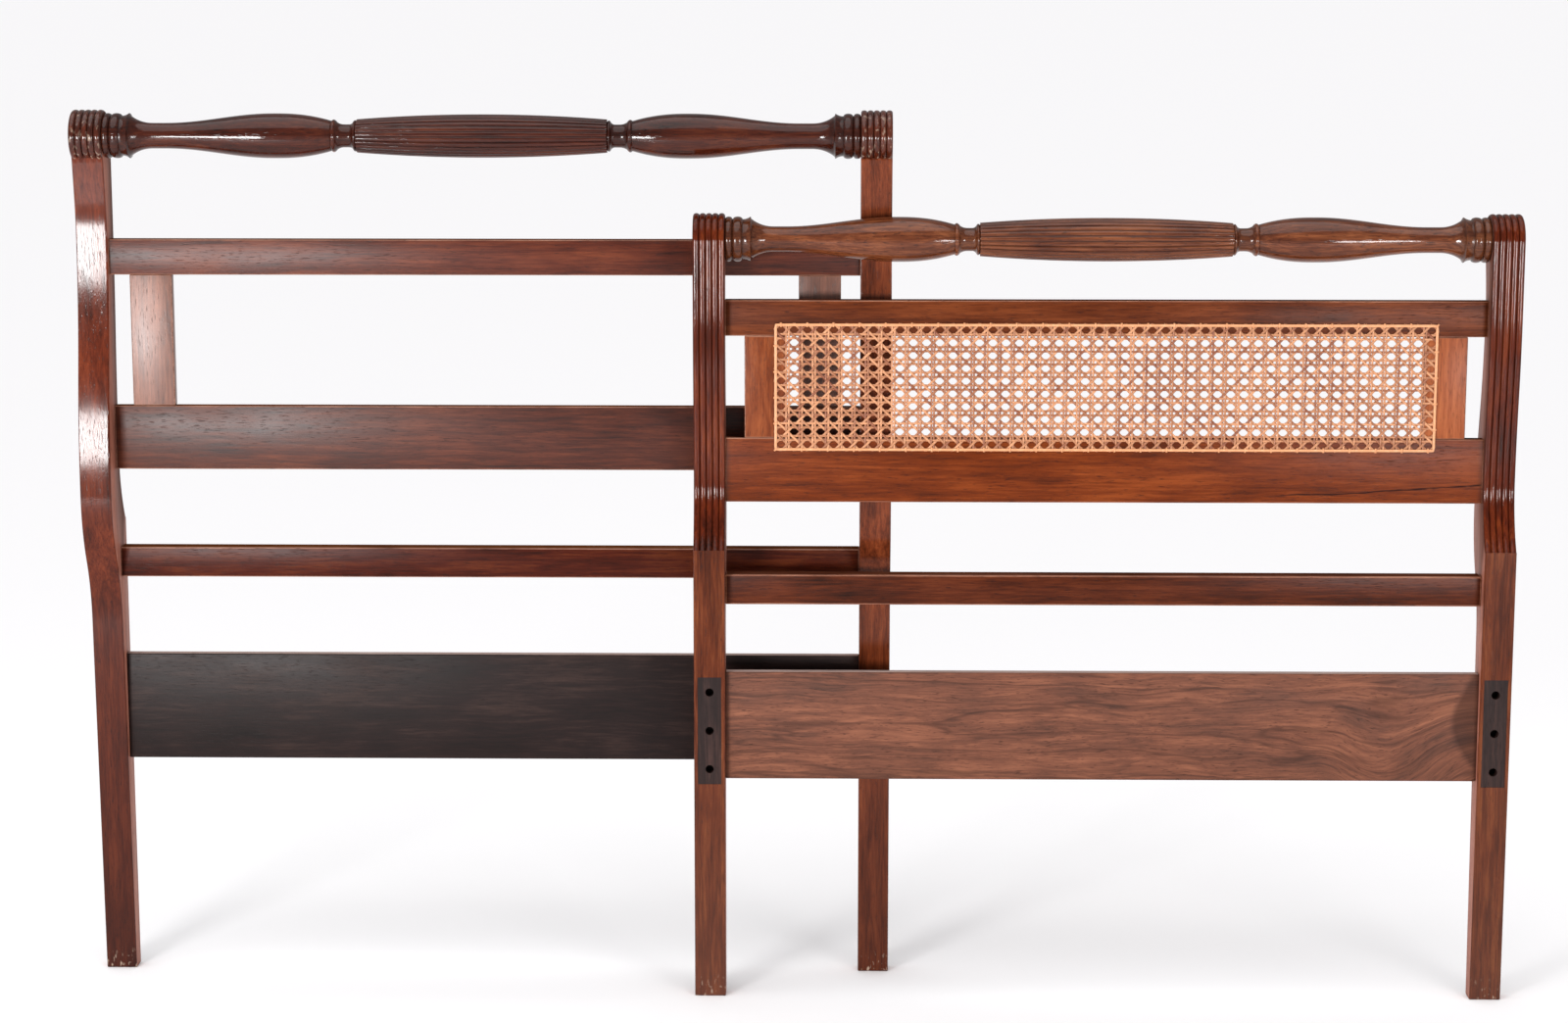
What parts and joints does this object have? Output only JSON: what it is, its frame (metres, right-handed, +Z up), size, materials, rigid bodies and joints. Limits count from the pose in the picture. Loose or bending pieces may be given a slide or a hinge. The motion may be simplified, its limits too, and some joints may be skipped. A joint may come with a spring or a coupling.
{
  "type": "single bed head and foot ends",
  "caption": "Pair of scrolled and reeded wooden single-bed ends with turned crest rails, a caned foot panel and bolt seats for side rails.",
  "frame": {"origin": "on the floor, at the middle of the pair's footprint", "axes": "+X across the beds, towards the foot end; +Y from the foot end's mattress side to the head end's mattress side, away from the picture's viewer; +Z up"},
  "size_m": [1.697, 0.124, 1.056],
  "materials": {
    "polished_rosewood": "french polish, dark red-brown",
    "stained_rosewood": "unpolished and darkened with age",
    "dry_rosewood": "worn, dry and lighter",
    "woven_cane": "hand-woven cane, shiny side out",
    "cane_binding": "flat binding cane"
  },
  "bodies": {
    "root": {"head_left_post": "polished_rosewood", "head_right_post": "polished_rosewood", "head_bottom_rail": "stained_rosewood", "head_middle_rail": "polished_rosewood", "head_panel_rail": "polished_rosewood", "head_upper_rail": "polished_rosewood", "head_left_stile": "polished_rosewood", "head_right_stile": "polished_rosewood", "head_crest_rail": "polished_rosewood", "foot_left_post": "polished_rosewood", "foot_right_post": "polished_rosewood", "foot_bottom_rail": "dry_rosewood", "foot_middle_rail": "polished_rosewood", "foot_panel_rail": "polished_rosewood", "foot_upper_rail": "polished_rosewood", "foot_left_stile": "polished_rosewood", "foot_right_stile": "polished_rosewood", "foot_crest_rail": "polished_rosewood", "foot_cane_panel": "woven_cane", "foot_cane_binding": "cane_binding"}
  },
  "joints": []
}
